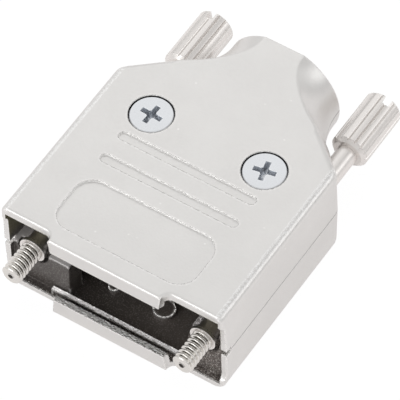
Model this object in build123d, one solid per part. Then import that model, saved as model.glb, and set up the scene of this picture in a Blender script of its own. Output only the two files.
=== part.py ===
from build123d import *
import math
import os

# Two-shell die-cast hood for a 9-way D-subminiature connector, with a straight round cable entry.
# Frame: +X to the right, +Y back towards the cable, +Z up. The origin is the centre of the
# connector's mating face, midway between the two jackscrews, on the plane where the shells part.

# Body, in millimetres
body_width = 32.5
body_height = 15.1
top_edge_radius = 1.0
bottom_edge_radius = 1.8
front_edge_radius = 0.4
draft_angle = 1.2

# Shoulders behind the box, seen from above
corner_y = 26.3
corner_radius = 2.0
shoulder_angle = 40.0
shoulder_rear_y = 31.4
shoulder_rear_radius = 3.0

# Round cable entry, a bell about the Y axis
entry_radius = 8.08
entry_rear_y = 39.65
entry_straight = 0.7
flare_radius = 9.3
flare_end_radius = 12.2
flare_foot_radius = 2.5
flare_foot_turn = 80.0
bell_reach = 1.7
rim_chamfer = 0.15
ridge_share = 0.5
bore_radius = 5.3
bore_straight = 3.2
bore_flare_radius = 6.0
bore_flare_end_radius = 9.9

# Walls and the mouth that takes the connector
roof_wall = 1.2
side_wall = 0.85
shoulder_wall = 1.5
lip_half_width = 8.0
lip_reach = 1.28
lip_height = 2.95
lip_wall = 0.95
lip_corner_radius = 0.95
side_set_back = 0.6
set_back_half_height = 5.7
set_back_radius = 1.2
latch_notch_depth = 1.7
latch_notch_half_height = 0.45
flange_rib_y = 0.5
flange_rib_width = 0.6
flange_rib_height = 1.0
flange_rib_half_length = 9.6
pad_places = ((-4.3, 5.3, 1.0), (2.94, 6.2, 1.74))
pad_height = 0.6

# Shallow fields sunk into the roof
field_depth = 0.3
field_half_width = 10.0
panel_front_y = 1.55
panel_rear_y = 9.85
panel_corner_radius = 2.6
groove_width = 1.34
groove_centres_y = (13.1, 17.15)

# Jackscrews
screw_spacing = 24.99
thread_radius = 1.42
thread_tip_y = -3.65
thread_tip_chamfer = 0.35
tip_centre_radius = 0.3
tip_centre_depth = 0.25
shank_radius = 1.4
ring_front_y = 1.02
ring_radius = 1.82
ring_width = 0.5
ring_groove_radius = 1.1
ring_gap_half_width = 0.85
running_clearance = 0.03
ring_side_clearance = 0.03
knob_radius = 2.55
knob_front_y = 34.25
knob_length = 8.7
knob_front_chamfer = 0.5
knob_rear_chamfer = 0.2
flute_count = 16
flute_depth = 0.22
slot_width = 1.0
slot_depth = 1.2
slot_turn = {-1: -98.8, 1: -70.7}
flute_slope = 0.9

# Walls inside that guide the jackscrews
guide_front_y = 1.25
guide_width = 2.6
guide_pocket_depth = 1.0
guide_pocket_clearance = 0.5
guide_wide_inner_x = 7.2
guide_inner_x = 10.3
keeper_front_y = 3.95
keeper_width = 1.3
shank_clearance = 0.12

# Screws that hold the shells together
assembly_screw_x = 8.29
assembly_screw_y = 21.8
assembly_head_radius = 2.84
assembly_head_height = 1.75
assembly_head_gap = 0.1
assembly_head_sink = 0.1
assembly_shank_radius = 1.5
assembly_shank_length = 9.6
assembly_hole_clearance = 0.1
tapped_hole_clearance = 0.05
roof_boss_wall = 0.75
boss_radius = 2.55
tapped_depth = 5.2
assembly_head_chamfer = 0.15
assembly_tip_chamfer = 0.4
cross_reach = 1.5
cross_arm_width = 0.72
cross_core_radius = 0.62
cross_depth = 1.3
cross_taper = 12.0
cross_turn = {-1: -3.0, 1: 12.0}

# Cable clamp
clamp_y = 28.0
clamp_width = 3.6
clamp_thickness = 1.1
clamp_arch_radius = 5.0
clamp_post_x = 7.3
clamp_post_radius = 1.7
clamp_seat_z = -2.6
clamp_tab_radius = 1.8
clamp_bend_radius = 0.6
clamp_screw_radius = 1.1
clamp_head_radius = 1.9
clamp_head_height = 1.2
clamp_screw_length = 4.6
clamp_screw_slot_width = 0.5
clamp_screw_slot_depth = 0.6
saddle_rib_width = 0.8
saddle_rib_height = 1.0
saddle_rib_half_length = 4.6
saddle_rib_pitch = 2.2

# Worked out from the sizes above
half_width = body_width / 2
half_height = body_height / 2
half_spacing = screw_spacing / 2
inner_half_width = half_width - side_wall
inner_half_height = half_height - roof_wall
reach_past = 3.0
touching = 0.01


def rise(angle):
    """Tangent of an angle in degrees."""
    return math.tan(math.radians(angle))


def plan_outline():
    """Outline of the box and shoulders from above, with the lip that stands forward."""
    shoulder_x = half_width - (shoulder_rear_y - corner_y) / rise(shoulder_angle)
    right = [
        (lip_half_width, -lip_reach),
        (lip_half_width, 0),
        (half_width, 0),
        (half_width, corner_y),
        (shoulder_x, shoulder_rear_y),
    ]
    left = [(-x, y) for x, y in reversed(right)]
    face = make_face(Polyline(*right, *left, close=True))
    rear = [v for v in face.vertices() if abs(v.Y - shoulder_rear_y) < touching]
    face = fillet(rear, shoulder_rear_radius)
    middle = [v for v in face.vertices() if abs(v.Y - corner_y) < touching]
    face = fillet(middle, corner_radius)
    inner = [v for v in face.vertices() if abs(v.Y) < touching and abs(v.X) < half_width - touching]
    return fillet(inner, lip_corner_radius)


def flare_turn(radius, spread):
    """Angle a flare turns through, as far as the shoulder's slope or until it has spread enough."""
    return min(math.radians(90 - shoulder_angle), math.acos(1 - spread / radius))


def bell_profile():
    """Half section of the entry's outside, radius along X and the cable's axis along Y."""
    turn = flare_turn(flare_radius, flare_end_radius - entry_radius)
    straight_y = entry_rear_y - entry_straight
    start = math.pi / 2 - turn
    stop = math.radians(flare_foot_turn)

    def flare_point(angle):
        return (
            entry_radius + flare_radius * (1 - math.cos(angle)),
            straight_y - flare_radius * math.sin(angle),
        )

    flare_r, flare_y = flare_point(turn)
    cone_y = flare_y - (flare_end_radius - flare_r) * math.tan(start)
    foot_r = flare_end_radius - flare_foot_radius * math.sin(start)
    foot_y = cone_y - flare_foot_radius * math.cos(start)

    def foot_point(angle):
        return (
            foot_r + flare_foot_radius * math.sin(angle),
            foot_y + flare_foot_radius * math.cos(angle),
        )

    side = Line((entry_radius, entry_rear_y), (entry_radius, straight_y))
    flare = ThreePointArc((entry_radius, straight_y), flare_point(turn / 2), (flare_r, flare_y))
    edges = [side, flare]
    if flare_end_radius - flare_r > touching:
        edges.append(Line((flare_r, flare_y), (flare_end_radius, cone_y)))
    edges.append(ThreePointArc(foot_point(start), foot_point((start + stop) / 2), foot_point(stop)))
    toe_r, toe_y = foot_point(stop)
    edges.append(Polyline(
        (toe_r, toe_y),
        (toe_r, toe_y - bell_reach),
        (0, toe_y - bell_reach),
        (0, entry_rear_y),
        (entry_radius, entry_rear_y),
    ))
    return make_face(Curve() + edges)


def bore_profile():
    """Half section of the hollow inside the entry, wide at the front and round at the rear."""
    turn = flare_turn(bore_flare_radius, bore_flare_end_radius - bore_radius)
    straight_y = entry_rear_y - bore_straight
    open_y = entry_rear_y + reach_past

    def flare_point(angle):
        return (
            bore_radius + bore_flare_radius * (1 - math.cos(angle)),
            straight_y - bore_flare_radius * math.sin(angle),
        )

    flare_r, flare_y = flare_point(turn)
    cone_y = flare_y - (bore_flare_end_radius - flare_r) * rise(shoulder_angle)
    corners = [(flare_r, flare_y)]
    if bore_flare_end_radius - flare_r > touching:
        corners.append((bore_flare_end_radius, cone_y))
    corners += [
        (corners[-1][0], cone_y - bell_reach),
        (0, cone_y - bell_reach),
        (0, open_y),
        (bore_radius, open_y),
        (bore_radius, straight_y),
    ]
    flare = ThreePointArc((bore_radius, straight_y), flare_point(turn / 2), (flare_r, flare_y))
    return make_face(Curve() + [flare, Polyline(*corners)])


def span_box(x_low, x_high, y_low, y_high, z_low, z_high):
    """A block given by its two corners."""
    block = Box(x_high - x_low, y_high - y_low, z_high - z_low)
    return Pos((x_low + x_high) / 2, (y_low + y_high) / 2, (z_low + z_high) / 2) * block


def slab(z_low, z_high):
    """A block wider than the body, between two heights."""
    wide = 2 * body_width
    return span_box(-wide, wide, -wide, wide, z_low, z_high)


def upright(x, y, radius, z_low, z_high):
    """A vertical cylinder."""
    return Pos(x, y, (z_low + z_high) / 2) * Cylinder(radius, z_high - z_low)


def lengthwise(x, radius, y_low, y_high):
    """A cylinder along Y at the height of the jackscrews."""
    return Pos(x, (y_low + y_high) / 2, 0) * Rot(90, 0, 0) * Cylinder(radius, y_high - y_low)


def outer_half(edge_radius):
    """Outside of one shell as a solid, from the parting plane up."""
    prism = extrude(plan_outline(), amount=half_height, taper=draft_angle)
    roof = prism.faces().sort_by(Axis.Z)[-1]
    prism = fillet([e for e in roof.edges() if e.center().Y >= front_edge_radius], edge_radius)
    roof = prism.faces().sort_by(Axis.Z)[-1]
    prism = fillet([e for e in roof.edges() if e.center().Y < front_edge_radius], front_edge_radius)
    bell = revolve(bell_profile(), axis=Axis.Y) & slab(0, half_height)
    rim = [e for e in bell.edges() if abs(e.center().Y - entry_rear_y) < touching and e.center().Z > touching]
    bell = chamfer(rim, rim_chamfer)
    level = [e for e in bell.edges() if abs(e.center().Z - half_height) < touching]
    ridge = [e for e in level if e.bounding_box().size.Y > touching]
    bell = fillet(ridge, edge_radius * ridge_share)
    return prism + bell


def cavity():
    """Hollow of one shell behind the mouth, from the parting plane to the roof's underside."""
    line_shift = shoulder_wall / math.cos(math.radians(shoulder_angle))
    front_y = lip_wall - lip_reach
    side_y = corner_y - line_shift + side_wall * rise(shoulder_angle)
    rear_y = shoulder_rear_y - shoulder_wall
    rear_x = half_width - (rear_y - corner_y + line_shift) / rise(shoulder_angle)
    right = [(inner_half_width, front_y), (inner_half_width, side_y), (rear_x, rear_y)]
    left = [(-x, y) for x, y in reversed(right)]
    box = extrude(make_face(Polyline(*right, *left, close=True)), amount=inner_half_height)
    bell = revolve(bore_profile(), axis=Axis.Y) & slab(0, inner_half_height)
    return box + bell


def mouth():
    """What is cut from the front of one shell so that the connector can stand in it."""
    ahead = -lip_reach - reach_past
    behind = lip_wall - lip_reach
    window = span_box(-lip_half_width, lip_half_width, ahead, behind, 0, half_height - lip_height)
    cuts = window
    for side in (-1, 1):
        corner = sorted((side * lip_half_width, side * inner_half_width))
        cuts += span_box(*corner, ahead, behind, 0, inner_half_height)
        flank = sorted((side * (inner_half_width - side_wall), side * (half_width + side_wall)))
        deep = side_set_back - ahead
        outline = Pos(ahead + deep / 2, 0) * Rectangle(deep, 2 * set_back_half_height)
        inner = [v for v in outline.vertices() if v.X > 0]
        outline = fillet(inner, set_back_radius)
        slot = extrude(Plane.YZ.offset(flank[0]) * outline, amount=flank[1] - flank[0])
        cuts += slot
        cuts += span_box(*flank, ahead, latch_notch_depth, -latch_notch_half_height, latch_notch_half_height)
    return cuts & slab(0, half_height)


def guide_walls(front_y, width, wide_side):
    """The two walls across one shell that the jackscrews turn in, one of them wider."""
    walls = Part()
    for side in (-1, 1):
        inner_x = guide_wide_inner_x if side == wide_side else guide_inner_x
        ends = sorted((side * inner_x, side * inner_half_width))
        walls += span_box(*ends, front_y, front_y + width, 0, inner_half_height)
    return walls


def jackscrew_ways():
    """Clear way for both jackscrews, with the pocket that their rings sink into."""
    ways = Part()
    for side in (-1, 1):
        x = side * half_spacing
        pocket_y = guide_front_y + guide_pocket_depth
        ways += lengthwise(x, ring_radius + guide_pocket_clearance, 0, pocket_y)
        ways += lengthwise(x, shank_radius + shank_clearance, 0, knob_front_y)
    return ways


def roof_fields():
    """Shallow panel and finger grooves."""
    panel_y = (panel_front_y + panel_rear_y) / 2
    panel = Pos(0, panel_y) * RectangleRounded(
        2 * field_half_width, panel_rear_y - panel_front_y, panel_corner_radius
    )
    fields = Sketch() + panel
    for groove_y in groove_centres_y:
        fields += Pos(0, groove_y) * SlotOverall(2 * field_half_width, groove_width)
    return extrude(Plane.XY.offset(half_height - field_depth) * fields, amount=2 * field_depth)


def shell_half(edge_radius, walls):
    """What both shells share, built above the parting plane, with its own guide walls."""
    shell = outer_half(edge_radius) - cavity() - mouth()
    shell += walls
    shell -= jackscrew_ways()
    return shell - roof_fields()


def top_shell():
    """Upper shell: stepped bosses with sunk seats for the assembly screws."""
    shell = shell_half(top_edge_radius, guide_walls(keeper_front_y, keeper_width, 0))
    seat_radius = assembly_head_radius + assembly_head_gap
    seat_z = half_height - assembly_head_sink - assembly_head_height
    hole_radius = assembly_shank_radius + assembly_hole_clearance
    for side in (-1, 1):
        x = side * assembly_screw_x
        shell += upright(x, assembly_screw_y, seat_radius + roof_boss_wall, seat_z - roof_wall, inner_half_height)
        shell += upright(x, assembly_screw_y, boss_radius, 0, inner_half_height)
        shell -= upright(x, assembly_screw_y, seat_radius, seat_z, half_height + reach_past)
        shell -= upright(x, assembly_screw_y, hole_radius, -reach_past, seat_z)
    return shell


def bottom_shell():
    """Lower shell: tapped bosses, clamp posts, saddle ribs and the rib behind the flange."""
    shell = shell_half(bottom_edge_radius, guide_walls(guide_front_y, guide_width, 1))
    floor_z = inner_half_height
    rib_end = flange_rib_half_length
    rib_rear = flange_rib_y + flange_rib_width
    shell += span_box(-rib_end, rib_end, flange_rib_y, rib_rear, floor_z - flange_rib_height, floor_z)
    for x, y, radius in pad_places:
        shell += upright(-x, y, radius, floor_z - pad_height, floor_z)
    for side in (-1, 1):
        x = side * assembly_screw_x
        shell += upright(x, assembly_screw_y, boss_radius, 0, floor_z)
        tapped_radius = assembly_shank_radius + tapped_hole_clearance
        shell -= upright(x, assembly_screw_y, tapped_radius, -reach_past, tapped_depth)
        x = side * clamp_post_x
        shell += upright(x, clamp_y, clamp_post_radius, -clamp_seat_z, floor_z)
        rib_y = clamp_y + side * saddle_rib_pitch / 2
        shell += span_box(
            -saddle_rib_half_length,
            saddle_rib_half_length,
            rib_y - saddle_rib_width / 2,
            rib_y + saddle_rib_width / 2,
            floor_z - saddle_rib_height,
            floor_z,
        )
    for side in (-1, 1):
        clamp_hole = clamp_screw_radius + tapped_hole_clearance
        hole_end = clamp_screw_length - clamp_thickness - clamp_seat_z + tapped_hole_clearance
        shell -= upright(side * clamp_post_x, clamp_y, clamp_hole, 0, hole_end)
    return Rot(0, 180, 0) * shell


def cross_recess(top_z):
    """Four-armed driver recess that narrows towards its bottom."""
    arm = Rectangle(2 * cross_reach, cross_arm_width)
    cross = arm + Rot(0, 0, 90) * arm + Circle(cross_core_radius)
    down = Plane(origin=(0, 0, top_z), z_dir=(0, 0, -1))
    return extrude(down * cross, amount=cross_depth, taper=cross_taper)


def assembly_screw(side):
    """Flat-headed screw that closes the shells."""
    head_top = half_height - assembly_head_sink
    head_low = head_top - assembly_head_height
    screw = upright(0, 0, assembly_head_radius, head_low, head_top)
    screw = chamfer(screw.faces().sort_by(Axis.Z)[-1].edges(), assembly_head_chamfer)
    screw += upright(0, 0, assembly_shank_radius, head_low - assembly_shank_length, head_low)
    screw = chamfer(screw.faces().sort_by(Axis.Z)[0].edges(), assembly_tip_chamfer)
    screw -= cross_recess(head_top)
    return Pos(side * assembly_screw_x, assembly_screw_y, 0) * Rot(0, 0, cross_turn[side]) * screw


def jackscrew(side):
    """Turned jackscrew: centred tip, thread, ring groove, shank and fluted, slotted knob."""
    groove_front = ring_front_y - ring_side_clearance
    groove_rear = ring_front_y + ring_width + ring_side_clearance
    knob_rear = knob_front_y + knob_length
    section = Polyline(
        (0, thread_tip_y + tip_centre_depth),
        (tip_centre_radius, thread_tip_y),
        (thread_radius - thread_tip_chamfer, thread_tip_y),
        (thread_radius, thread_tip_y + thread_tip_chamfer),
        (thread_radius, groove_front),
        (ring_groove_radius, groove_front),
        (ring_groove_radius, groove_rear),
        (shank_radius, groove_rear),
        (shank_radius, knob_front_y),
        (knob_radius - knob_front_chamfer, knob_front_y),
        (knob_radius, knob_front_y + knob_front_chamfer),
        (knob_radius, knob_rear - knob_rear_chamfer),
        (knob_radius - knob_rear_chamfer, knob_rear),
        (0, knob_rear),
        close=True,
    )
    screw = revolve(make_face(section), axis=Axis.Y)
    flute_half = flute_depth * flute_slope
    flute = Plane.XZ * make_face(
        Polyline(
            (knob_radius - flute_depth, 0),
            (knob_radius + flute_depth, flute_half * 2),
            (knob_radius + flute_depth, -flute_half * 2),
            close=True,
        )
    )
    flute = Pos(0, knob_rear + reach_past, 0) * extrude(flute, amount=knob_length + 2 * reach_past)
    for count in range(flute_count):
        screw -= Rot(0, 360 / flute_count * count, 0) * flute
    reach = knob_radius + reach_past
    half_slot = slot_width / 2
    screw -= span_box(-reach, reach, knob_rear - slot_depth, knob_rear + reach_past, -half_slot, half_slot)
    return Pos(side * half_spacing, 0, 0) * Rot(0, slot_turn[side], 0) * screw


def retaining_ring(side):
    """Open snap ring that sits in the jackscrew's groove and bears on the guide wall."""
    rear_y = ring_front_y + ring_width
    ring = lengthwise(0, ring_radius, ring_front_y, rear_y)
    ahead, behind = ring_front_y - reach_past, rear_y + reach_past
    ring -= lengthwise(0, ring_groove_radius + running_clearance, ahead, behind)
    ring -= span_box(-ring_gap_half_width, ring_gap_half_width, ahead, behind, -2 * ring_radius, 0)
    return Pos(side * half_spacing, 0, 0) * ring


def cable_clamp_bar():
    """Strap bent over the cable, with a flat foot on each post."""
    inner = clamp_arch_radius - clamp_thickness
    reach = clamp_post_x
    arch = Circle(clamp_arch_radius) - Circle(inner)
    feet = Pos(0, clamp_thickness / 2) * Rectangle(2 * reach, clamp_thickness) - Circle(inner)
    above = Pos(0, clamp_arch_radius) * Rectangle(4 * reach, 2 * clamp_arch_radius)
    strip = (arch + feet) & above
    inside_corners = [
        v for v in strip.vertices()
        if abs(v.Y - clamp_thickness) < touching and abs(v.X) < clamp_arch_radius + touching
    ]
    strip = fillet(inside_corners, clamp_bend_radius)
    bar = extrude(Plane.XZ.offset(-clamp_width / 2) * strip, amount=clamp_width)
    for side in (-1, 1):
        bar += upright(side * reach, 0, clamp_tab_radius, 0, clamp_thickness)
        hole_radius = clamp_screw_radius + assembly_hole_clearance
        bar -= upright(side * reach, 0, hole_radius, -reach_past, clamp_thickness + reach_past)
    return Pos(0, clamp_y, clamp_seat_z) * bar


def clamp_screw(side):
    """Slotted cheese-head screw of the cable clamp."""
    head_low = clamp_seat_z + clamp_thickness
    head_top = head_low + clamp_head_height
    screw = upright(0, 0, clamp_head_radius, head_low, head_top)
    screw = chamfer(screw.faces().sort_by(Axis.Z)[-1].edges(), assembly_head_chamfer)
    screw += upright(0, 0, clamp_screw_radius, head_low - clamp_screw_length, head_low)
    reach = 2 * clamp_head_radius
    half_slot = clamp_screw_slot_width / 2
    slot_bottom = head_top - clamp_screw_slot_depth
    screw -= span_box(-reach, reach, -half_slot, half_slot, slot_bottom, head_top + reach_past)
    return Pos(side * clamp_post_x, clamp_y, 0) * screw


sides = {"left": -1, "right": 1}
pieces = {
    "top_shell": top_shell(),
    "bottom_shell": bottom_shell(),
    "cable_clamp_bar": cable_clamp_bar(),
}
for name, sign in sides.items():
    pieces["assembly_screw_" + name] = assembly_screw(sign)
    pieces["jackscrew_" + name] = jackscrew(sign)
    pieces["retaining_ring_" + name] = retaining_ring(sign)
    pieces["clamp_screw_" + name] = clamp_screw(sign)

os.makedirs("parts", exist_ok=True)
for name, piece in pieces.items():
    export_step(piece, "parts/" + name + ".step")
    print(name, "solids", len(piece.solids()), "volume", round(piece.volume, 2))
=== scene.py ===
# %% [markdown]
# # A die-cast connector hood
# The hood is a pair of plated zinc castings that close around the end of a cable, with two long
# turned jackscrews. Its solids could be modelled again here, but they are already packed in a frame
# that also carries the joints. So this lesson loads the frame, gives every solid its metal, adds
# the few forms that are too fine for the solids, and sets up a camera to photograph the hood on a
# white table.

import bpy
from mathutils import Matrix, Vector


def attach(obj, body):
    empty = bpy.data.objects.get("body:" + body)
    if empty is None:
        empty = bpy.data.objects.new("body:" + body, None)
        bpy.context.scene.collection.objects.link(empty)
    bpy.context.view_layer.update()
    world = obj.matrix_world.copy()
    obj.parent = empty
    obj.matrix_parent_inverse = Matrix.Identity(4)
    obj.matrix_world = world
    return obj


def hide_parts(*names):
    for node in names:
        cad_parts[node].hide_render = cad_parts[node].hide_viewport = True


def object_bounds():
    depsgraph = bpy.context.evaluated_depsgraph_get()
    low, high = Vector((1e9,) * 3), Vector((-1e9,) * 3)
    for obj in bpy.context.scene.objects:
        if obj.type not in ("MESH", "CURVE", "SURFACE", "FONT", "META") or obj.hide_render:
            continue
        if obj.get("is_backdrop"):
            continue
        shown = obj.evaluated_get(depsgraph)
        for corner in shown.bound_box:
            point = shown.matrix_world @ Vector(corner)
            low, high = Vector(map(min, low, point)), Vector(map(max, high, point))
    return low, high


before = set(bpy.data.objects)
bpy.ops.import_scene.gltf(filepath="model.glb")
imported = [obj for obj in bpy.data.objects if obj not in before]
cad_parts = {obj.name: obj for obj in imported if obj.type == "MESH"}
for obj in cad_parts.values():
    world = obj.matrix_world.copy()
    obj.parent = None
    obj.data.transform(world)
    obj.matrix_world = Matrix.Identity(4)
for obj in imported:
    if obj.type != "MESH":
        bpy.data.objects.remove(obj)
print("loaded", len(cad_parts), "solid parts")

# %% [markdown]
# ## The true size
# The real hood is 32.5 mm wide. The numbers could be copied from a drawing, but measuring the frame
# keeps this file right if the drawing changes. Blender counts in metres, and one name for a
# millimetre lets the rest of the lesson speak in the maker's units.

# %% Modules and the box of the frame
import math

import bmesh
import bpy
from mathutils import Matrix, Vector

MM = 0.001
low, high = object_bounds()
print("the frame spans", [round((b - a) / MM, 2) for a, b in zip(low, high)], "mm")

# %% [markdown]
# ## Nodes by the line
# The finish of a plated casting has many small causes, so its material has many nodes. They could
# be placed by hand in the shader editor. Here a helper adds one node and fills its inputs in one
# line, so that a material reads like a recipe.

# %% A node and its inputs


def fill(tree, node, inputs):
    """Fill the inputs of a node. A socket is linked, and any other value is set."""
    for name, value in inputs.items():
        key = int(name[1:]) if name[1:].isdigit() else name.replace("_", " ")
        socket = node.inputs[key]
        if isinstance(value, bpy.types.NodeSocket):
            tree.links.new(value, socket)
        else:
            socket.default_value = value
    return node


def add(tree, kind, **inputs):
    """Add one node. An input is given by its name, or by its number after a low line."""
    return fill(tree, tree.nodes.new(kind), inputs)


# %% [markdown]
# ## Soft steps
# Wear and dirt on metal never end at a sharp line. A colour ramp could soften each of them, but a
# map range node does it with two numbers, and its smooth curve has no kink where it starts.

# %% Arithmetic and ramps


def maths(tree, operation, a, b=0.0, clamp=False):
    """One arithmetic step."""
    node = add(tree, "ShaderNodeMath", _0=a, _1=b)
    node.operation = operation
    node.use_clamp = clamp
    return node.outputs[0]


def ramp(tree, value, start, end, out_low=0.0, out_high=1.0):
    """Stretch a value from one range to another, smoothly, and hold it at the ends."""
    ends = {"From_Min": start, "From_Max": end, "To_Min": out_low, "To_Max": out_high}
    node = add(tree, "ShaderNodeMapRange", Value=value, **ends)
    node.interpolation_type = "SMOOTHSTEP"
    return node.outputs[0]


# %% [markdown]
# ## Effects to share
# Every metal here has edges and grain. Their nodes could be repeated in each material, but a node
# group is built once and placed with other values each time, so a correction reaches all of them.

# %% Node groups


def new_group(name, inputs, outputs):
    """An empty node group with named inputs and outputs."""
    group = bpy.data.node_groups.new(name, "ShaderNodeTree")
    kinds = {"value": "NodeSocketFloat", "vector": "NodeSocketVector"}
    for label, kind, value in inputs:
        socket = group.interface.new_socket(name=label, in_out="INPUT", socket_type=kinds[kind])
        if value is not None:
            socket.default_value = value
    for label, kind in outputs:
        group.interface.new_socket(name=label, in_out="OUTPUT", socket_type=kinds[kind])
    given = group.nodes.new("NodeGroupInput").outputs
    result = group.nodes.new("NodeGroupOutput").inputs
    return group, given, result


# %% [markdown]
# ## Edges
# The edges of the real pieces are a little round, and hands have polished the ones that stand out.
# The roundings could be modelled, but at a fifth of a millimetre they cost many faces. The bevel
# node rounds the light on every edge instead. The occlusion node looks into the metal, where it
# is near a surface on two sides only at an outward edge, and so it finds those that get polished.
# The materials make those edges smoother and also lighter in colour, which is partly a painted
# highlight.

# %% The edge group
EDGE_SAMPLES = 8
FLAT_METAL, THIN_METAL = 0.97, 0.6
edge_group, given, result = new_group(
    "edges",
    [("Radius", "value", 0.2 * MM), ("Reach", "value", 0.4 * MM)],
    [("Outward", "value"), ("Normal", "vector")],
)
bevel = add(edge_group, "ShaderNodeBevel", Radius=given["Radius"])
bevel.samples = EDGE_SAMPLES
thin = add(edge_group, "ShaderNodeAmbientOcclusion", Distance=given["Reach"])
thin.inside = True
thin.only_local = True
thin.samples = EDGE_SAMPLES
outward = ramp(edge_group, thin.outputs["AO"], FLAT_METAL, THIN_METAL)
edge_group.links.new(outward, result["Outward"])
edge_group.links.new(bevel.outputs["Normal"], result["Normal"])
print("group", edge_group.name, "has", len(edge_group.nodes), "nodes")

# %% [markdown]
# ## Places in millimetres
# The grain of a casting has one size wherever it lies. A texture could follow an unwrapped map, but
# cast pieces have no seams to unwrap along, so each texture reads the place of a point in the
# solid, turned into millimetres.

# %% Vectors and places


def vector_maths(tree, operation, *vectors):
    """One arithmetic step on vectors, with its outputs by name."""
    inputs = {"_" + str(number): vector for number, vector in enumerate(vectors)}
    node = add(tree, "ShaderNodeVectorMath", **inputs)
    node.operation = operation
    return node.outputs


def place_in_mm(tree):
    """Where a point lies in its piece, in millimetres."""
    place = tree.nodes.new("ShaderNodeTexCoord").outputs["Object"]
    return vector_maths(tree, "MULTIPLY", place, (1 / MM, 1 / MM, 1 / MM))["Vector"]


# %% [markdown]
# ## Cast grain
# Under its plating a die casting has a fine orange-peel grain, slow cloudy changes of tone, and a
# few bright specks where the plating caught a crumb. A photograph of metal could be laid over it,
# but it would blur close up and repeat. Two noises and one pattern of cells stay sharp at any
# distance.

# %% The grain group
FINE_DETAIL = {"Detail": 3.0, "Roughness": 0.6}
CLOUD_DETAIL = {"Scale": 0.16, "Detail": 2.0, "Roughness": 0.5}
SPECKS_PER_MM = 0.55
SPECK_EDGE = (0.04, 0.1)
SPECK_RARITY = (0.62, 0.75)
grain_group, given, result = new_group(
    "cast_grain",
    [("Scale", "value", 3.0)],
    [("Height", "value"), ("Cloud", "value"), ("Specks", "value")],
)
in_mm = place_in_mm(grain_group)
fine = add(grain_group, "ShaderNodeTexNoise", Vector=in_mm, Scale=given["Scale"], **FINE_DETAIL)
cloud = add(grain_group, "ShaderNodeTexNoise", Vector=in_mm, **CLOUD_DETAIL)
cells = add(grain_group, "ShaderNodeTexVoronoi", Vector=in_mm, Scale=SPECKS_PER_MM)
dots = ramp(grain_group, cells.outputs["Distance"], *SPECK_EDGE, 1.0, 0.0)
lucky = ramp(grain_group, cells.outputs["Color"], *SPECK_RARITY)
grain_group.links.new(fine.outputs["Fac"], result["Height"])
grain_group.links.new(cloud.outputs["Fac"], result["Cloud"])
grain_group.links.new(maths(grain_group, "MULTIPLY", dots, lucky), result["Specks"])
print("group", grain_group.name, "has", len(grain_group.nodes), "nodes")

# %% [markdown]
# ## Masks
# A worn or dirty place on the real hood often has several causes at once: it lies low, it faces up
# and something rubs there. A mask could be painted for each such place. Here masks are values from
# zero to one, and two helpers combine them: one asks for all of its masks, the other for any.

# %% Combining masks


def all_of(tree, *masks):
    """The product of several masks: one where every mask is one."""
    product = masks[0]
    for mask in masks[1:]:
        product = maths(tree, "MULTIPLY", product, mask)
    return product


def any_of(tree, *masks):
    """The largest of several masks."""
    largest = masks[0]
    for mask in masks[1:]:
        largest = maths(tree, "MAXIMUM", largest, mask)
    return largest


# %% [markdown]
# ## Zones of the shells
# One casting has several finishes: bright plating outside, metal in the hollow painted dark as its
# shade, and rubbed metal where something slides. Separate materials could be given to separate
# faces, but these finishes end in the middle of faces. So a group of masks tells from the place of a
# point, in millimetres, and from the way its face looks, which finish it has.

# %% The zone group
ZONE_NAMES = ("Inside", "Highlit", "Tops", "Seam", "Upper", "Side", "Rim", "Seat", "Field")
ZONE_NAMES += ("Arris", "Worn", "Glints")
zone_group, given, result = new_group(
    "shell_zones",
    [("Place", "vector", None), ("Normal", "vector", None)],
    [(name, "value") for name in ZONE_NAMES],
)


def over(value, limit):
    """One where the value is above the limit, and zero elsewhere."""
    return maths(zone_group, "GREATER_THAN", value, limit)


def under(value, limit):
    """One where the value is below the limit, and zero elsewhere."""
    return maths(zone_group, "LESS_THAN", value, limit)


axes = add(zone_group, "ShaderNodeSeparateXYZ", Vector=given["Place"]).outputs
facing = add(zone_group, "ShaderNodeSeparateXYZ", Vector=given["Normal"]).outputs
off_x = maths(zone_group, "ABSOLUTE", axes["X"])
off_z = maths(zone_group, "ABSOLUTE", axes["Z"])
zones = {}

# %% [markdown]
# ## The hollow and the seam
# The hollow is painted dark, as the shade that fills it, and the two castings meet in a fine line
# halfway up. Both could be painted by hand on a map. Plain limits along the three axes are enough,
# because the hollow is a box and the seam lies in one plane.

# %% Hollow, seam, and how far up and to the right
HOLLOW_X, HOLLOW_Z = 15.45, 6.4
HOLLOW_FRONT_Y, HOLLOW_REAR_Y = -0.3, 26.0
MEETING_Z = 0.06
SEAM_Z = (0.08, 0.17)
UPPER_Z = (0.5, 2.5)
SIDE_X = (-8.0, 12.0)
hollow = all_of(
    zone_group,
    under(off_x, HOLLOW_X),
    under(off_z, HOLLOW_Z),
    over(axes["Y"], HOLLOW_FRONT_Y),
    under(axes["Y"], HOLLOW_REAR_Y),
)
zones["Inside"] = hollow
zones["Seam"] = ramp(zone_group, off_z, *SEAM_Z, 1.0, 0.0)
zones["Upper"] = ramp(zone_group, axes["Z"], *UPPER_Z)
zones["Side"] = ramp(zone_group, axes["X"], *SIDE_X)
print("the hollow is", 2 * HOLLOW_X, "mm wide and", 2 * HOLLOW_Z, "mm high")
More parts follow.
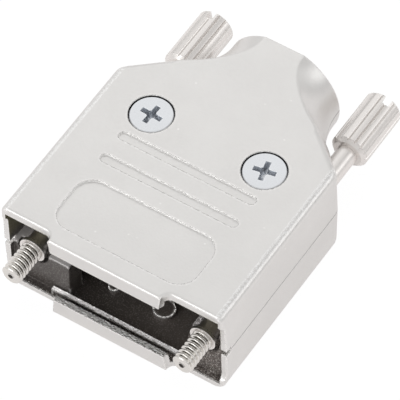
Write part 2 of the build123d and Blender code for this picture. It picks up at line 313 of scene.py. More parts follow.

# %% [markdown]
# ## Rubbed rims
# The connector slides in along the lower rim and the faces where the shells meet, and rubs the
# tops of the floor's ribs, which shine more and have a coarser grain. These tops and the meeting
# faces in the hollow are also coloured pale lilac as a painted highlight. A wear map could be baked
# from the shape, but it would find every edge of the hollow. These limits name only the faces that
# something really touches.

# %% Rims and tops
LOW_RIM_Z = -4.5
MIDDLE_RIM_Z = 0.35
FACING_UP = 0.8
RIB_TOP_Z = -5.5
low_rim = under(axes["Z"], LOW_RIM_Z)
middle_rim = under(off_z, MIDDLE_RIM_Z)
level_face = under(off_z, MEETING_Z)
upward = over(facing["Z"], FACING_UP)
tops = all_of(zone_group, upward, over(axes["Z"], RIB_TOP_Z), low_rim)
# Rib tops and meeting faces in the hollow get a painted highlight colour.
zones["Highlit"] = any_of(zone_group, all_of(zone_group, hollow, level_face), tops)
zones["Tops"] = all_of(zone_group, hollow, tops)
zones["Rim"] = any_of(zone_group, low_rim, middle_rim)
print("rib tops lie between", RIB_TOP_Z, "and", LOW_RIM_Z, "mm")

# %% [markdown]
# ## Scuffs and painted glints
# The lower lip, the trough behind it and the right end of the hollow are scuffed, and pale specks
# there, fewer elsewhere in the hollow, are painted glints of the rough metal. Loose specks could be
# scattered as small pieces, but they are finer than a dot of the picture, so a coarse noise draws
# them as spots of colour.

# %% Worn places and painted glints
TROUGH_Y = 0.55
RIGHT_END_X = 9.6
LIP_TOP_Z = -4.6
LIP_TOP_SLACK = 0.1
GLINTS_PER_MM = 7.0
GLINT_EDGE = (0.52, 0.70)
GLINTS_EVERYWHERE, GLINTS_WHERE_WORN = 0.22, 0.7
trough = all_of(zone_group, low_rim, under(axes["Y"], TROUGH_Y))
right_end = over(axes["X"], RIGHT_END_X)
from_lip_top = maths(zone_group, "ABSOLUTE", maths(zone_group, "SUBTRACT", axes["Z"], LIP_TOP_Z))
lip_top = all_of(zone_group, upward, under(from_lip_top, LIP_TOP_SLACK), under(axes["Y"], 0.0))
worn = all_of(zone_group, hollow, any_of(zone_group, trough, right_end))
worn = any_of(zone_group, worn, lip_top)
# The pale specks are painted glints, more of them where the metal is worn.
extra_glints = maths(zone_group, "MULTIPLY", worn, GLINTS_WHERE_WORN)
glinting = maths(zone_group, "ADD", GLINTS_EVERYWHERE, extra_glints)
glint = add(zone_group, "ShaderNodeTexNoise", Vector=given["Place"], Scale=GLINTS_PER_MM, Detail=1.0)
grains = glint.outputs["Fac"]
zones["Worn"] = worn
zones["Glints"] = all_of(zone_group, ramp(zone_group, grains, *GLINT_EDGE), glinting)
print("dust grains are about", round(1 / GLINTS_PER_MM, 2), "mm wide")

# %% [markdown]
# ## Screw seats and shallow fields
# Each screw head sits in a round seat with a dark gap around it, and the roof has a sunk panel and
# two finger grooves whose walls catch the light. The gap could be left to the shadow alone, but a
# soft light fills it. So a circle around each screw makes it dark, and steep faces near the top of
# the roof are marked as walls of the fields.

# %% Seats and fields
SCREW_X, SCREW_Y, SEAT_RADIUS = 8.29, 21.8, 3.02
STEEP = 0.4
ROOF_Z = 7.2
FIELD_X = 10.1
FIELD_FRONT_Y, FIELD_REAR_Y = 1.0, 18.2
from_screw = add(
    zone_group,
    "ShaderNodeCombineXYZ",
    X=maths(zone_group, "SUBTRACT", off_x, SCREW_X),
    Y=maths(zone_group, "SUBTRACT", axes["Y"], SCREW_Y),
)
away = vector_maths(zone_group, "LENGTH", from_screw.outputs[0])["Value"]
zones["Seat"] = all_of(zone_group, under(away, SEAT_RADIUS), over(axes["Z"], 0.0))
zones["Field"] = all_of(
    zone_group,
    under(maths(zone_group, "ABSOLUTE", facing["Z"]), STEEP),
    over(axes["Z"], ROOF_Z),
    under(off_x, FIELD_X),
    over(axes["Y"], FIELD_FRONT_Y),
    under(axes["Y"], FIELD_REAR_Y),
)
print("the seats are", 2 * SEAT_RADIUS, "mm wide and", 2 * SCREW_X, "mm apart")

# %% [markdown]
# ## The bright arris
# An arris is the line where two faces meet. Along both sides of the roof it is a band of tiny
# bright points, painted white as highlights. Each point could be a dent in the mesh, but that takes
# thousands of faces, so the glint noise is cut into points inside a narrow band.

# %% Arris, and the group's outputs
ARRIS_Z = 6.9
ARRIS_START_X = (14.95, 15.15)
ARRIS_END_X = (15.6, 15.75)
ARRIS_POINTS = (0.46, 0.58)
zones["Arris"] = all_of(
    zone_group,
    over(axes["Z"], ARRIS_Z),
    ramp(zone_group, off_x, *ARRIS_START_X),
    ramp(zone_group, off_x, *ARRIS_END_X, 1.0, 0.0),
    ramp(zone_group, grains, *ARRIS_POINTS),
)
for zone_name in ZONE_NAMES:
    zone_group.links.new(zones[zone_name], result[zone_name])
print("zones:", ", ".join(ZONE_NAMES))

# %% [markdown]
# ## Colours of the zones
# The hollow is painted dark brown as its shade, lighter to the right where light falls in, with an
# olive painted reflection under the roof, pale painted glints, and a pale lilac painted highlight on
# the rib tops and the faces where the shells meet. The arris gets white painted highlights and the
# screw seats a painted shadow. Each zone could be a material of its own, but their borders are soft.
# So the colours are mixed in one chain, from the most spread finish to the smallest, because a later
# one covers an earlier one.

# %% Mixing colours


def mix(tree, share, one, other):
    """Blend two colours, each a socket or three numbers."""
    node = tree.nodes.new("ShaderNodeMix")
    node.data_type = "RGBA"
    node.clamp_factor = True
    pair = [c if isinstance(c, bpy.types.NodeSocket) else (*c, 1) for c in (one, other)]
    fill(tree, node, {"_0": share, "_6": pair[0], "_7": pair[1]})
    return node.outputs[2]


def shade(color, factor):
    """A lighter or darker version of a colour."""
    return [min(1.0, c * factor) for c in color]


HOLLOW_SHADE_BROWN = (0.115, 0.10, 0.092)
OLIVE_REFLECTION = (0.17, 0.155, 0.10)
GLINT_COLOR = (0.74, 0.70, 0.66)
PALE_LILAC_HIGHLIGHT = (0.86, 0.83, 0.84)
SEAT_SHADOW = (0.03, 0.03, 0.035)
ARRIS_HIGHLIGHT_WHITE = (1, 1, 1)
SEAM_SHARE, SEAM_SHADE = 0.55, 0.3
LEFT_SHADE, RIGHT_SHADE = 0.7, 1.6


def zone_tones(tree, zone, color, tone):
    """The colour of the shells in every zone, with its painted shade, reflection and highlights."""
    tone = mix(tree, maths(tree, "MULTIPLY", zone["Seam"], SEAM_SHARE), tone, shade(color, SEAM_SHADE))
    # White arris points are painted highlights.
    tone = mix(tree, zone["Arris"], tone, ARRIS_HIGHLIGHT_WHITE)
    tone = mix(tree, zone["Seat"], tone, SEAT_SHADOW)
    # The hollow's dark brown is painted shade, lighter to the right where light falls in.
    hollow_tone = mix(tree, zone["Side"], shade(HOLLOW_SHADE_BROWN, LEFT_SHADE), shade(HOLLOW_SHADE_BROWN, RIGHT_SHADE))
    # Olive high in the hollow is a painted reflection.
    hollow_tone = mix(tree, zone["Upper"], hollow_tone, OLIVE_REFLECTION)
    # Pale specks are painted glints.
    hollow_tone = mix(tree, zone["Glints"], hollow_tone, GLINT_COLOR)
    # Pale lilac on the rib tops and meeting faces is a painted highlight.
    hollow_tone = mix(tree, zone["Highlit"], hollow_tone, PALE_LILAC_HIGHLIGHT)
    return mix(tree, zone["Inside"], tone, hollow_tone)


# %% [markdown]
# ## Shine of the zones
# The hollow, whose dark colour is painted shade, is given less metallic shine than the plating, as
# oily metal has, and the rubbed rims shine most. Two materials could be blended, but one shader with
# a changing metallic value costs less and can still be baked.

# %% Masks that set the shine
HOLLOW_DULLNESS = 0.7
WORN_SHINE = 0.7
WORN_COARSENESS = 3.0


def zone_shine(tree, shader, zone, outward):
    """Set how metallic each zone is, and hand back its polished, rubbed and coarse masks."""
    covered = maths(tree, "SUBTRACT", zone["Inside"], zone["Rim"], clamp=True)
    reached = maths(tree, "SUBTRACT", 1.0, covered)
    off_seam = maths(tree, "SUBTRACT", 1.0, zone["Seam"])
    outward = all_of(tree, outward, all_of(tree, reached, off_seam))
    rubbed = any_of(tree, zone["Tops"], all_of(tree, outward, zone["Inside"]))
    plated = maths(tree, "SUBTRACT", 1.0, maths(tree, "MULTIPLY", zone["Inside"], HOLLOW_DULLNESS))
    scuffed = maths(tree, "MULTIPLY", zone["Worn"], WORN_SHINE)
    tree.links.new(any_of(tree, plated, rubbed, scuffed), shader.inputs["Metallic"])
    scratched = maths(tree, "MULTIPLY", zone["Worn"], WORN_COARSENESS)
    coarse = any_of(tree, rubbed, outward, zone["Field"], scratched)
    return outward, rubbed, coarse


# %% [markdown]
# ## Leaning the light
# Walls of the fields and rubbed ribs are rounder on the casting than in the solids, so they catch
# light from above. They could be rounded in the mesh, face by face. Tilting the normal that the
# shader uses gives the same highlight and leaves the shape alone.

# %% A tilted normal
FORWARD_TILT = -0.75


def lean(tree, normal, up, forward):
    """Tilt the shading normal, as a drafted wall or a rounded rib stands."""
    ahead = maths(tree, "MULTIPLY", forward, FORWARD_TILT)
    lift = add(tree, "ShaderNodeCombineXYZ", Y=ahead, Z=up).outputs[0]
    leaning = vector_maths(tree, "ADD", normal, lift)["Vector"]
    return vector_maths(tree, "NORMALIZE", leaning)["Vector"]


# %% [markdown]
# ## One recipe for every metal
# Cast nickel, turned nickel, zinc and steel differ in colour, roughness and the strength of their
# grain, but not in kind. Each could be a material of its own from the start. One function that
# takes the differences as values keeps them alike where real metals are alike. Turned pieces also
# get the fine rings that the lathe leaves around them.

# %% Surface of a metal
CLOUD_EDGE = (0.3, 0.7)
CLOUD_SHADE, SPECK_SHADE, EDGE_SHADE = 0.97, 1.15, 1.18
EDGE_REACH = 1.6
EDGE_SHARE = 0.8
EDGE_POLISH = 0.3
GRAIN_RANGE = (0.2, 0.8)
ROUGH_SPREAD = (0.85, 1.15)
COARSE_HEIGHT = 10.0
SPARKLES_PER_MM = 5.0
LATHE_STRETCH = (60, 9000, 60)
LATHE_HEIGHT = 0.4


def use_group(tree, group, **inputs):
    """Put a node group into a material."""
    node = tree.nodes.new("ShaderNodeGroup")
    node.node_tree = group
    return fill(tree, node, inputs).outputs


def worn_roughness(tree, grain, outward, roughness):
    """Roughness that follows the grain and falls on polished edges."""
    smoothest, roughest = (roughness * spread for spread in ROUGH_SPREAD)
    rough = ramp(tree, grain["Height"], *GRAIN_RANGE, smoothest, roughest)
    polish = maths(tree, "MULTIPLY", outward, roughness * EDGE_POLISH)
    return maths(tree, "SUBTRACT", rough, polish)


def lathe_lines(tree):
    """Fine rings around a turned piece, whose axis runs along Y."""
    place = tree.nodes.new("ShaderNodeTexCoord").outputs["Object"]
    stretched = add(tree, "ShaderNodeMapping", Vector=place, Scale=LATHE_STRETCH).outputs[0]
    lines = add(tree, "ShaderNodeTexNoise", Vector=stretched, Scale=1.0, Detail=2.0)
    return maths(tree, "MULTIPLY", lines.outputs["Fac"], LATHE_HEIGHT)


def scuffs(tree, in_mm, coarse):
    """Coarse sparkle where the metal is scuffed."""
    sparkle = add(tree, "ShaderNodeTexNoise", Vector=in_mm, Scale=SPARKLES_PER_MM, Detail=1.0)
    strength = maths(tree, "MULTIPLY", COARSE_HEIGHT, coarse)
    return maths(tree, "MULTIPLY", sparkle.outputs["Fac"], strength)


# %% [markdown]
# ## Building the material
# On the real metal colour, roughness and grain change together, because the same plating causes all
# three. They could be set apart, each with its own noise. Here the shared groups steer them, so a
# polished edge is both smoother and lighter, its lighter colour partly a painted highlight, and the
# grain is seen in height and roughness alike.

# %% The metal function


def metal(name, color, roughness, grain_scale, grain_height, edge_radius, turned=False, zoned=False):
    """A plated metal with grain, cloudy tone and polished edges, lightened partly as a painted
    highlight.
    """
    material = bpy.data.materials.new(name)
    material.use_nodes = True
    tree = material.node_tree
    shader = tree.nodes["Principled BSDF"]
    shader.inputs["Metallic"].default_value = 1.0
    edge = use_group(tree, edge_group, Radius=edge_radius, Reach=EDGE_REACH * edge_radius)
    grain = use_group(tree, grain_group, Scale=grain_scale)
    outward, normal, height = edge["Outward"], edge["Normal"], grain["Height"]
    tone = mix(tree, ramp(tree, grain["Cloud"], *CLOUD_EDGE), shade(color, CLOUD_SHADE), color)
    tone = mix(tree, grain["Specks"], tone, shade(color, SPECK_SHADE))
    if zoned:
        in_mm = place_in_mm(tree)
        true_normal = tree.nodes.new("ShaderNodeNewGeometry").outputs["Normal"]
        zone = use_group(tree, zone_group, Place=in_mm, Normal=true_normal)
        tone = zone_tones(tree, zone, color, tone)
        outward, rubbed, coarse = zone_shine(tree, shader, zone, outward)
        normal = lean(tree, normal, zone["Field"], rubbed)
        height = maths(tree, "ADD", height, scuffs(tree, in_mm, coarse))
    if turned:
        height = maths(tree, "ADD", height, lathe_lines(tree))
    # Outward edges are painted lighter: partly polish, partly a painted highlight.
    tone = mix(tree, maths(tree, "MULTIPLY", outward, EDGE_SHARE), tone, shade(color, EDGE_SHADE))
    bump = add(tree, "ShaderNodeBump", Height=height, Normal=normal, Distance=grain_height)
    tree.links.new(tone, shader.inputs["Base Color"])
    tree.links.new(worn_roughness(tree, grain, outward, roughness), shader.inputs["Roughness"])
    tree.links.new(bump.outputs[0], shader.inputs["Normal"])
    print(name, "has", len(tree.nodes), "nodes")
    return material


# %% [markdown]
# ## The six finishes
# The shells are cast and nickel plated, the jackscrews are turned and plated, with a brighter
# thread and the hole of the lathe centre painted dark as its shade, the small screws are zinc
# plated, and the strap is plain steel. All could share one nickel, but side by side the real ones
# are told apart by just these small differences.

# %% Finishes
CAST_GRAIN_PER_MM, FINE_GRAIN_PER_MM = 3.0, 5.0


def smooth_metal(name, color, roughness, grain_height, edge_radius, turned=False):
    """A metal with the fine grain of drawn or turned stock. Its last two sizes are in millimetres."""
    sizes = (FINE_GRAIN_PER_MM, grain_height * MM, edge_radius * MM)
    return metal(name, color, roughness, *sizes, turned=turned)


# After the name each line gives colour, roughness, height of the grain and radius of the edges.
cast_sizes = (CAST_GRAIN_PER_MM, 0.013 * MM, 0.25 * MM)
cast_nickel = metal("cast_nickel", (0.80, 0.79, 0.78), 0.36, *cast_sizes, zoned=True)
turned_nickel = smooth_metal("turned_nickel", (0.86, 0.83, 0.81), 0.35, 0.0008, 0.1, turned=True)
thread_nickel = smooth_metal("thread_nickel", (0.80, 0.78, 0.75), 0.20, 0.0012, 0.05)
# The centre hole's near-black colour is painted shade.
centre_hole_shade = smooth_metal("centre_hole_shade", (0.07, 0.065, 0.06), 0.30, 0.002, 0.05)
bright_zinc = smooth_metal("bright_zinc", (0.78, 0.80, 0.83), 0.30, 0.002, 0.12)
strap_steel = smooth_metal("strap_steel", (0.72, 0.71, 0.69), 0.34, 0.003, 0.12)

# %% [markdown]
# ## Dressing the solid parts
# Every solid part gets its metal. The list could name all eleven parts, but their names already say
# what they are, so a word in the name chooses the finish.

# %% Metals for the solids
metals = {"shell": cast_nickel, "jackscrew": turned_nickel, "retaining": turned_nickel}
metals.update({"assembly": bright_zinc, "clamp_screw": bright_zinc, "cable": strap_steel})
for name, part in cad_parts.items():
    chosen_metal = next(m for key, m in metals.items() if key in name)
    part.data.materials.clear()
    part.data.materials.append(chosen_metal)
    print(name, "is", chosen_metal.name, "with", len(part.data.polygons), "faces")

# %% [markdown]
# ## Trimming the shells
# On the real hood the lips of both shells reach a little further to the sides than in the solids,
# the upper lip hangs less deep, their corners are round, and the two pads on the floor stand
# elsewhere. The shells could be modelled again, but only these few points differ. So copies of the
# two shells take small moves, given in millimetres, and stand in for them. First come the lips. An
# end of a lip moves as a whole, so that the small rounding behind it is kept.

# %% Where a point of a lip goes
LIP_FRONT_Y = -0.2
LIP_END_X, LIP_REAR_Y = (7.4, 9.0), 0.57
LIP_GROWTH = {"top_shell": (0.5, 0.2), "bottom_shell": (0.5, 0.5)}
LIP_EDGE_Z, LIP_ROOT_Z = 4.6, 6.34
LIP_SLACK = 0.05
TRIMMED_LIP_EDGE_Z = {"top_shell": 5.22, "bottom_shell": 4.6}
LIP_CORNER = 0.35


def trimmed_lip(name, x, y, z):
    """Where a point of a lip goes."""
    at_end = y < LIP_REAR_Y and LIP_END_X[0] < abs(x) < LIP_END_X[1]
    if at_end:
        left, right = LIP_GROWTH[name]
        x += right if x > 0 else -left
    if y < LIP_FRONT_Y and LIP_EDGE_Z - LIP_SLACK < abs(z) < LIP_ROOT_Z:
        edge_z = TRIMMED_LIP_EDGE_Z[name]
        depth = edge_z + (abs(z) - LIP_EDGE_Z) * (LIP_ROOT_Z - edge_z) / (LIP_ROOT_Z - LIP_EDGE_Z)
        z = math.copysign(depth, z)
        if at_end:
            short = 1 - min(1, max(0, depth - edge_z) / LIP_CORNER)
            x -= math.copysign(LIP_CORNER * (1 - math.sqrt(1 - short**2)), x)
    return x, y, z


# %% [markdown]
# ## The pads on the floor
# Two round pads show through the mouth, left by the pins that pushed the casting out of its mould.
# New pads could be laid over the old ones, but the old ones would still show. So every point of a
# pad is moved to its new place, nearer to the pad's own centre as the new pad is smaller.

# %% Where a point of a pad goes
PAD_TOP_Z = -5.6
PAD_SLACK = 0.02
PAD_MOVES = [
    {"from": (-4.3, 5.3), "radius": 1.0, "to": (-3.42, 5.27), "new_radius": 0.8},
    {"from": (2.94, 6.2), "radius": 1.74, "to": (3.72, 5.69), "new_radius": 1.47},
]


def trimmed_pad(x, y):
    """Where a point of a pad goes."""
    for pad in PAD_MOVES:
        off = Vector((x - pad["from"][0], y - pad["from"][1]))
        if off.length < pad["radius"] + PAD_SLACK:
            off *= pad["new_radius"] / pad["radius"]
            x, y = pad["to"][0] + off.x, pad["to"][1] + off.y
    return x, y


# %% [markdown]
# ## Standing in for the shells
# A trimmed shell has the same faces as the solid one and moves with it. A lattice or shape keys
# could carry the moves, but a plain copy of the mesh exports as it is. The solid stays in the frame
# for the collisions, and the copy replaces it for the eye.

# %% The two trimmed shells
MOVE_COUNTED = 0.01 * MM


def stand_in(mesh, node, body):
    """A piece that takes the place of a solid part."""
    piece = bpy.data.objects.new(mesh.name, mesh)
    bpy.context.scene.collection.objects.link(piece)
    piece.matrix_world = node.matrix_world
    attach(piece, body)
    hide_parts(node.name)
    return piece


def trimmed_shell(node):
    """A copy of one shell with its lip and pads moved."""
    mesh = node.data.copy()
    mesh.name = node.name + "_trimmed"
    moved = 0
    for point in mesh.vertices:
        x, y, z = trimmed_lip(node.name, *(point.co / MM))
        if node.name == "bottom_shell" and z < PAD_TOP_Z:
            x, y = trimmed_pad(x, y)
        goal = Vector((x, y, z)) * MM
        moved += (goal - point.co).length > MOVE_COUNTED
        point.co = goal
    print(mesh.name, "moved", moved, "points")
    return stand_in(mesh, node, "shells")


for name in LIP_GROWTH:
    trimmed_shell(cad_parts[name])

# %% [markdown]
# ## The line of the thread
# The jackscrews carry a 4-40 thread, which is 0.635 mm from crest to crest. The solid has a plain
# cylinder there. A bump could fake the thread, but its outline would stay straight. So the thread
# is cut in the mesh: the radius dips once per turn, fades out before the groove of the ring, and
# rounds off at the tip.

# %% Radius along the thread
PITCH = 0.635 * MM
CREST_RADIUS = 1.42 * MM
THREAD_DEPTH = 0.36 * MM
THREAD_REAR = 0.99 * MM
TIP_ROUND = 0.4 * MM
CREST_WIDTH_POWER = 1.4
RUNOUT_TURNS = 0.5


def thread_radius(y, angle, tip_y):
    """Radius of the threaded end at one point."""
    phase = (y - tip_y) / PITCH - angle / math.tau
    dip = (0.5 - 0.5 * math.cos(math.tau * phase)) ** CREST_WIDTH_POWER
    runout = min(1.0, (THREAD_REAR - y) / (RUNOUT_TURNS * PITCH))
    radius = CREST_RADIUS - THREAD_DEPTH * dip * max(0.0, runout)
    into_tip = TIP_ROUND - (y - tip_y)
    if into_tip > 0:
        tip_height = math.sqrt(max(0.0, TIP_ROUND**2 - into_tip**2))
        radius = min(radius, CREST_RADIUS - TIP_ROUND + tip_height)
    return radius


print("a thread of", round(PITCH / MM, 3), "mm pitch and", round(2 * CREST_RADIUS / MM, 2), "mm width")

# %% [markdown]
# ## Rows around the screw
# The threaded end is one tube of rows, like the turns of a potter's coil. A spiral curve with a
# profile could be swept instead, but it leaves a seam where it starts and ends. Rows that each go
# once around close by themselves. At the tip the rows go on into the small hole of the lathe
# centre.

# %% Rows and faces
AROUND = 72
ROWS_PER_TURN = 14
CENTRE_HOLE_RADIUS = 0.36 * MM
CENTRE_HOLE_DEPTH = 0.6 * MM
THREAD_FINISH, CENTRE_FINISH = 1, 2


def ring_of(shaped, axis_x, y, radius_at):
    """One row of points around the screw's axis."""
    ring = []
    for step in range(AROUND):
        angle = math.tau * step / AROUND
        radius = radius_at(angle)
        point = (axis_x + radius * math.cos(angle), y, radius * math.sin(angle))
        ring.append(shaped.verts.new(point))
    return ring


def lay_thread(shaped, axis_x, tip_y):
    """Lay the threaded tube, from the ring groove to the centre hole."""
    rows = math.ceil((THREAD_REAR - tip_y) / PITCH * ROWS_PER_TURN)
    rings = []
    for row in range(rows + 1):
        y = tip_y + (THREAD_REAR - tip_y) * row / rows
        rings.append(ring_of(shaped, axis_x, y, lambda angle: thread_radius(y, angle, tip_y)))
    rim = ring_of(shaped, axis_x, tip_y, lambda angle: CENTRE_HOLE_RADIUS)
    rings.insert(0, rim)
    for ring, following in zip(rings, rings[1:]):
        for step in range(AROUND):
            after = (step + 1) % AROUND
            corners = (ring[step], ring[after], following[after], following[step])
            shaped.faces.new(corners).material_index = THREAD_FINISH
    bottom = shaped.verts.new((axis_x, tip_y + CENTRE_HOLE_DEPTH, 0))
    for step in range(AROUND):
        corners = (rim[(step + 1) % AROUND], rim[step], bottom)
        shaped.faces.new(corners).material_index = CENTRE_FINISH


# %% [markdown]
# ## The threaded jackscrews
# Behind the thread the real screw has a groove, a shank and a fluted knob, which the solid already
# shows well. The whole screw could be made again, but a copy that loses only its plain front end
# keeps the rest exactly as it is.

# %% Both jackscrews
TIP_SLACK = 0.001 * MM
CUT_SLACK = 0.005 * MM
CREASE = math.radians(35)


def threaded_jackscrew(node, body):
    """A jackscrew with its thread cut, in place of the plain one."""
    mesh = node.data.copy()
    mesh.name = node.name + "_threaded"
    shaped = bmesh.new()
    shaped.from_mesh(mesh)
    tip_y = min(v.co.y for v in shaped.verts)
    tip_x = [v.co.x for v in shaped.verts if v.co.y < tip_y + TIP_SLACK]
    front = [f for f in shaped.faces if f.calc_center_median().y < THREAD_REAR - CUT_SLACK]
    bmesh.ops.delete(shaped, geom=front, context="FACES")
    lay_thread(shaped, sum(tip_x) / len(tip_x), tip_y)
    bmesh.ops.recalc_face_normals(shaped, faces=shaped.faces)
    for face in shaped.faces:
        face.smooth = True
    shaped.to_mesh(mesh)
    shaped.free()
    mesh.materials.append(thread_nickel)
    mesh.materials.append(centre_hole_shade)
    mesh.set_sharp_from_angle(angle=CREASE)
    print(mesh.name, "has", len(mesh.polygons), "faces")
    return stand_in(mesh, node, body)


for side in ("left", "right"):
    threaded_jackscrew(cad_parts["jackscrew_" + side], "screw_" + side)

# %% [markdown]
# ## The table
# The hood lies on white paper, whose edge can't be seen. A curved backdrop could hide the edge, but
# it takes room and light. Here the paper glows a little for the camera and for mirror rays alone,
# so that it meets the white background without a line, and the hood's soft shadow stays on it.

# %% White paper
TABLE_GAP = 0.01 * MM
TABLE_WIDTH = 6
GLOW_STRENGTH = 1.05
CAMERA_GLOW, MIRRORED_GLOW = 0.9, 0.5
ROSY = (1, 0.965, 0.955)
PAPER_WHITE = (0.9, 0.9, 0.9, 1)
PAPER_ROUGHNESS = 0.9
bpy.ops.mesh.primitive_plane_add(size=TABLE_WIDTH, location=(0, 0, low[2] - TABLE_GAP))
floor = bpy.context.object
floor.name = "table"
floor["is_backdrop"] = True
paper = bpy.data.materials.new("paper")
paper.use_nodes = True
tree = paper.node_tree
shader = tree.nodes["Principled BSDF"]
fill(tree, shader, {"Base_Color": PAPER_WHITE, "Roughness": PAPER_ROUGHNESS})
rays = tree.nodes.new("ShaderNodeLightPath").outputs
glow_color = mix(tree, rays["Is Glossy Ray"], (1, 1, 1), ROSY)
glow = add(tree, "ShaderNodeEmission", Color=glow_color, Strength=GLOW_STRENGTH)
seen = maths(tree, "MULTIPLY", rays["Is Camera Ray"], CAMERA_GLOW)
mirrored = maths(tree, "MULTIPLY", rays["Is Glossy Ray"], MIRRORED_GLOW)
share = any_of(tree, seen, mirrored)
blend = add(tree, "ShaderNodeMixShader", _0=share, _1=shader.outputs[0], _2=glow.outputs[0])
tree.links.new(blend.outputs[0], tree.nodes["Material Output"].inputs["Surface"])
floor.data.materials.append(paper)
print("the table lies", round(-floor.location.z / MM, 2), "mm below the seam")

# %% [markdown]
# ## Soft lights
# Plated metal shows its room more than its own colour, so the lights are large and even. Small
# lamps could light the hood as well, but the metal would mirror each one as a hard dot. Each panel
# is given by the radiance that the metal mirrors, which makes its size free to change.

# %% Four panels
MIDDLE = (0, 0.02, 0)


def softbox(name, place, width, length, radiance):
    """A soft studio light of an even radiance, turned to the middle of the hood."""
    light = bpy.data.lights.new(name, "AREA")
    light.shape = "RECTANGLE"
    light.size, light.size_y = width, length
    light.energy = radiance * math.pi * width * length
    lamp = bpy.data.objects.new(name, light)
    bpy.context.scene.collection.objects.link(lamp)
    lamp.location = place
    lamp.rotation_euler = (Vector(MIDDLE) - Vector(place)).to_track_quat("-Z", "Y").to_euler()
    print(name, "gives", round(light.energy, 3), "W")
    return lamp


softbox("near_panel", (-0.13, 0.20, 0.20), width=0.20, length=0.20, radiance=0.22)
softbox("left_strip", (-0.25, -0.55, 0.34), width=0.4, length=0.16, radiance=1.2)
softbox("front_panel", (-0.30, -0.75, 0.34), width=0.6, length=0.24, radiance=1.6)
softbox("right_strip", (0.58, 0.36, 0.33), width=0.5, length=0.24, radiance=0.7)

# %% [markdown]
# ## The room
# The room is nearly as bright as the table. A dark gap above the table's edge, higher to the right,
# draws the grey lines along the round edges. One dimmer spot, high behind the hood, is what the
# round screws mirror along their middle. Black cards could stand around the table, as in a studio,
# but they would also throw shadows. The world does the same with four soft ramps.

# %% World
GAP_RISE_X = (0.3, 0.75)
GAP_RISE = 0.12
GAP_TONE_X = (-0.4, 0.2)
LEFT_GAP_TONE, RIGHT_GAP_TONE = 0.62, 0.40
GAP_TOP = (0.03, 0.16)
ROOM_TONE = 0.80
SPOT_TOWARDS = (0.345, 0.493, 0.799)
SPOT_EDGE = (0.965, 0.992)
SPOT_TONE = 0.65
ROOM_WHITE = (1.0, 0.995, 0.985, 1)
world = bpy.data.worlds.new("studio")
bpy.context.scene.world = world
world.use_nodes = True
tree = world.node_tree
towards = tree.nodes.new("ShaderNodeTexCoord").outputs["Generated"]
heading = add(tree, "ShaderNodeSeparateXYZ", Vector=towards).outputs
gap_height = ramp(tree, heading["X"], *GAP_RISE_X, 0.0, GAP_RISE)
elevation = maths(tree, "SUBTRACT", heading["Z"], gap_height)
gap_tone = ramp(tree, heading["X"], *GAP_TONE_X, LEFT_GAP_TONE, RIGHT_GAP_TONE)
nearness = vector_maths(tree, "DOT_PRODUCT", towards, SPOT_TOWARDS)["Value"]
spot = ramp(tree, nearness, *SPOT_EDGE, 1.0, SPOT_TONE)
room = all_of(tree, ramp(tree, elevation, *GAP_TOP, gap_tone, ROOM_TONE), spot)
print("the room has", len(tree.nodes), "nodes so far")

# %% [markdown]
# ## White behind the hood
# The real background is white paper without a shade. The room could be made brighter until it looks
# white, but the metal would mirror that and lose its greys. So the camera alone sees white, and
# everything else sees the room.

# %% World for the camera
sky = fill(tree, tree.nodes["Background"], {"Color": ROOM_WHITE, "Strength": room})
white = add(tree, "ShaderNodeBackground", Color=(1, 1, 1, 1))
for_camera = tree.nodes.new("ShaderNodeLightPath").outputs["Is Camera Ray"]
blend = add(tree, "ShaderNodeMixShader", _0=for_camera, _1=sky.outputs[0], _2=white.outputs[0])
tree.links.new(blend.outputs[0], tree.nodes["World Output"].inputs["Surface"])
print("world", world.name, "is set")

# %% [markdown]
# ## The camera
# The hood was photographed from half a metre away, in front, above and to the right, with a long
# lens held a little askew. The view could be turned by eye, but its angles were found from known
# lengths of the hood instead. The camera stands on a line from a target in the hood, and then turns
# a little, so that the target lies left of and below the middle of the picture.

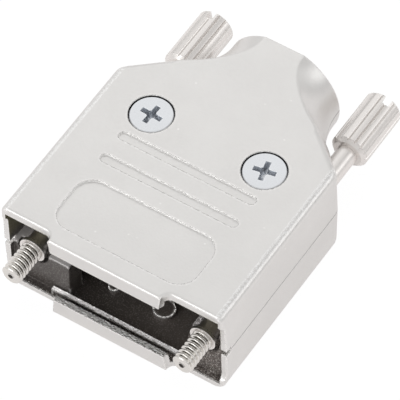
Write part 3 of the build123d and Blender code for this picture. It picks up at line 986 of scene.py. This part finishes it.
# %% Place and aim
CAMERA_TURN, CAMERA_HEIGHT, CAMERA_ROLL = (math.radians(a) for a in (35.021, 53.305, -2.448))
CAMERA_DISTANCE = 554.325 * MM
TARGET = Vector((0, 18, -0.56)) * MM
AIM_RIGHT, AIM_UP = 0.931, 0.293
flat = math.cos(CAMERA_HEIGHT)
back = Vector((math.sin(CAMERA_TURN) * flat, -math.cos(CAMERA_TURN) * flat, math.sin(CAMERA_HEIGHT)))
sideways = Vector((math.cos(CAMERA_TURN), math.sin(CAMERA_TURN), 0))
upwards = back.cross(sideways)
right = sideways * math.cos(CAMERA_ROLL) + upwards * math.sin(CAMERA_ROLL)
above = upwards * math.cos(CAMERA_ROLL) - sideways * math.sin(CAMERA_ROLL)
stand = TARGET + back * CAMERA_DISTANCE
aim = TARGET + right * AIM_RIGHT * MM + above * AIM_UP * MM
back = (stand - aim).normalized()
right = (right - back * right.dot(back)).normalized()
print("the camera stands", [round(length / MM) for length in stand], "mm from the middle")

# %% [markdown]
# ## The lens
# A long lens keeps the hood's far edges nearly as long as the near ones. Its length could be
# guessed from the look. It follows here from a focal length counted in dots of the picture, which
# is 400 dots wide, and from the usual sensor of 36 mm.

# %% Lens and view
SENSOR_WIDTH = 36
PICTURE_DOTS = 400
FOCAL_DOTS = 4471.103
NEAR_LIMIT = 0.01
lens = bpy.data.cameras.new("camera")
lens.sensor_width = SENSOR_WIDTH
lens.lens = FOCAL_DOTS * SENSOR_WIDTH / PICTURE_DOTS
lens.clip_start = NEAR_LIMIT
camera = bpy.data.objects.new("camera", lens)
bpy.context.scene.collection.objects.link(camera)
turned = Matrix((right, back.cross(right), back)).transposed().to_4x4()
camera.matrix_world = Matrix.Translation(stand) @ turned
bpy.context.scene.camera = camera
bpy.context.scene.view_settings.view_transform = "Standard"
print("the lens is", round(lens.lens), "mm long")

# %% [markdown]
# ## The last box
# Nothing on the finished model may stand past the solid parts, or a real hood made from them would
# not match. It could be judged by eye, but two boxes tell it exactly, so the finished model's box is
# printed here, as the frame's box was at the start.

# %% Two boxes
low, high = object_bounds()
print("the finished model spans", [round((b - a) / MM, 2) for a, b in zip(low, high)], "mm")
